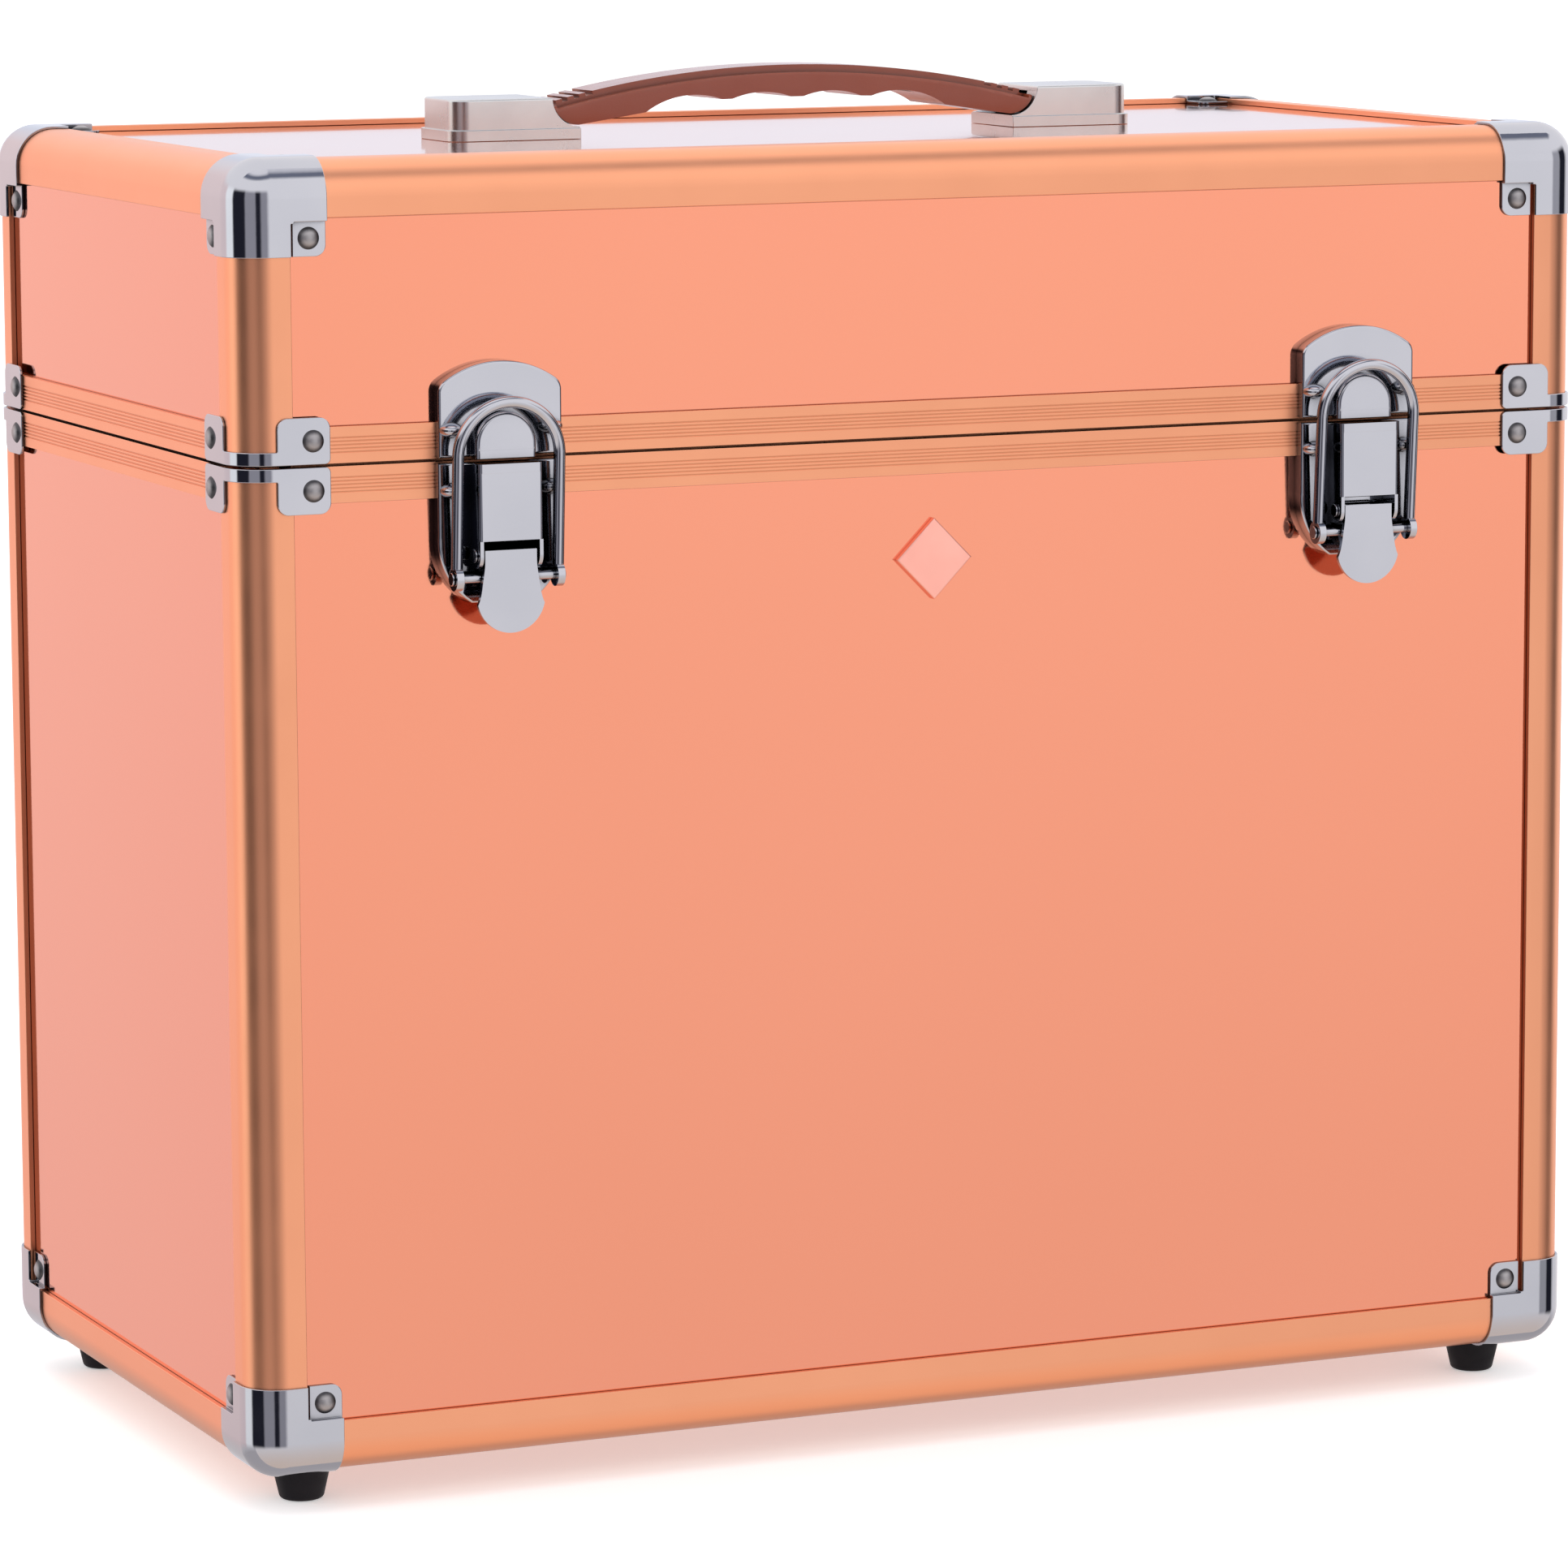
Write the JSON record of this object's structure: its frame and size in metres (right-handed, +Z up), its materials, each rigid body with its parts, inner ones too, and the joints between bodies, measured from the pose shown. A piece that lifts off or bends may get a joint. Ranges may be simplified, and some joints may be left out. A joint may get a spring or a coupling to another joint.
{
  "type": "grooming box",
  "caption": "Upright carrying case with a hinged lid, two draw latches, a low carrying grip, metal-clad corners, rubber feet and a lift-out tray.",
  "frame": {"origin": "bottom centre of the overall box, on the plane of the feet's undersides", "axes": "+Z up, front with the latches towards -Y, +X to the right seen from the front"},
  "size_m": [0.4042, 0.2274, 0.3775],
  "materials": {
    "copper_board": "satin copper metallic laminate on thin board",
    "copper_bar": "satin anodised, golden copper",
    "chrome": "polished plating",
    "rivet_steel": "plated rivet heads",
    "screw_steel": "zinc plated",
    "brushed_nickel": "brushed nickel plating",
    "grip_vinyl": "moulded brown vinyl, slight sheen",
    "foot_rubber": "moulded black rubber",
    "rose_badge": "bare satin rose metal",
    "lining_foam": "black foam sheet",
    "tray_plastic": "moulded black plastic, fine texture",
    "ledge_aluminium": "mill finish angle"
  },
  "bodies": {
    "case": {"badge": "rose_badge", "base_corner_protectors": "chrome", "base_floor": "copper_board", "base_lining": "lining_foam", "base_panel_back": "copper_board", "base_panel_front": "copper_board", "base_panel_left": "copper_board", "base_panel_right": "copper_board", "base_post_back_left": "copper_bar", "base_post_back_right": "copper_bar", "base_post_front_left": "copper_bar", "base_post_front_right": "copper_bar", "base_rail_back": "copper_bar", "base_rail_front": "copper_bar", "base_rail_left": "copper_bar", "base_rail_right": "copper_bar", "base_rivets": "rivet_steel", "base_seam_bars": "copper_bar", "base_seam_brackets": "chrome", "foot_back_left": "foot_rubber", "foot_back_right": "foot_rubber", "foot_front_left": "foot_rubber", "foot_front_right": "foot_rubber", "foot_screws": "screw_steel", "hinge_base_leaves": "chrome", "hinge_pins": "chrome", "latch_fulcrum_pins": "chrome", "latch_plate_left": "chrome", "latch_plate_right": "chrome", "tray_ledges": "ledge_aluminium"},
    "lid": {"lid_panel_front": "copper_board", "lid_panel_back": "copper_board", "lid_panel_left": "copper_board", "lid_panel_right": "copper_board", "lid_top": "copper_board", "lid_posts": "copper_bar", "lid_rail_front": "copper_bar", "lid_rail_back": "copper_bar", "lid_rail_left": "copper_bar", "lid_rail_right": "copper_bar", "lid_seam_bars": "copper_bar", "lid_corner_protectors": "chrome", "lid_seam_brackets": "chrome", "lid_rivets": "rivet_steel", "lid_lining": "lining_foam", "catch_plate_left": "chrome", "catch_plate_right": "chrome", "hinge_lid_leaves": "chrome", "handle_block_left": "brushed_nickel", "handle_block_right": "brushed_nickel", "handle_screws": "screw_steel"},
    "handle": {"handle_grip": "grip_vinyl", "handle_strap": "screw_steel"},
    "tray": {"tray": "tray_plastic"},
    "lever_left": {"latch_lever_left": "chrome", "bail_pin_left": "chrome"},
    "bail_left": {"latch_bail_left": "chrome"},
    "lever_right": {"latch_lever_right": "chrome", "bail_pin_right": "chrome"},
    "bail_right": {"latch_bail_right": "chrome"}
  },
  "joints": [
    {"name": "lid_hinge", "type": "hinge", "parent": "case", "child": "lid", "pos_m": [0, 0.11056, 0.2805], "axis": [-1, 0, 0], "range_deg": [0, 95]},
    {"name": "grip_lift", "type": "slide", "parent": "lid", "child": "handle", "axis": [0, 0, 1], "range_m": [0, 0.0035]},
    {"name": "tray_lift", "type": "slide", "parent": "case", "child": "tray", "axis": [0, 0, 1], "range_m": [0, 0.06]},
    {"name": "lever_left_pull", "type": "hinge", "parent": "case", "child": "lever_left", "pos_m": [-0.128, -0.10914, 0.2554], "axis": [-1, 0, 0], "range_deg": [0, 100]},
    {"name": "bail_left_swing", "type": "hinge", "parent": "lever_left", "child": "bail_left", "pos_m": [-0.128, -0.10914, 0.2495], "axis": [1, 0, 0], "range_deg": [0, 170]},
    {"name": "lever_right_pull", "type": "hinge", "parent": "case", "child": "lever_right", "pos_m": [0.128, -0.10914, 0.2554], "axis": [-1, 0, 0], "range_deg": [0, 100]},
    {"name": "bail_right_swing", "type": "hinge", "parent": "lever_right", "child": "bail_right", "pos_m": [0.128, -0.10914, 0.2495], "axis": [1, 0, 0], "range_deg": [0, 170]}
  ],
  "couplings": [
    {"joint": "bail_left_swing", "follows": "lever_left_pull", "ratio": 1.7},
    {"joint": "bail_right_swing", "follows": "lever_right_pull", "ratio": 1.7}
  ]
}
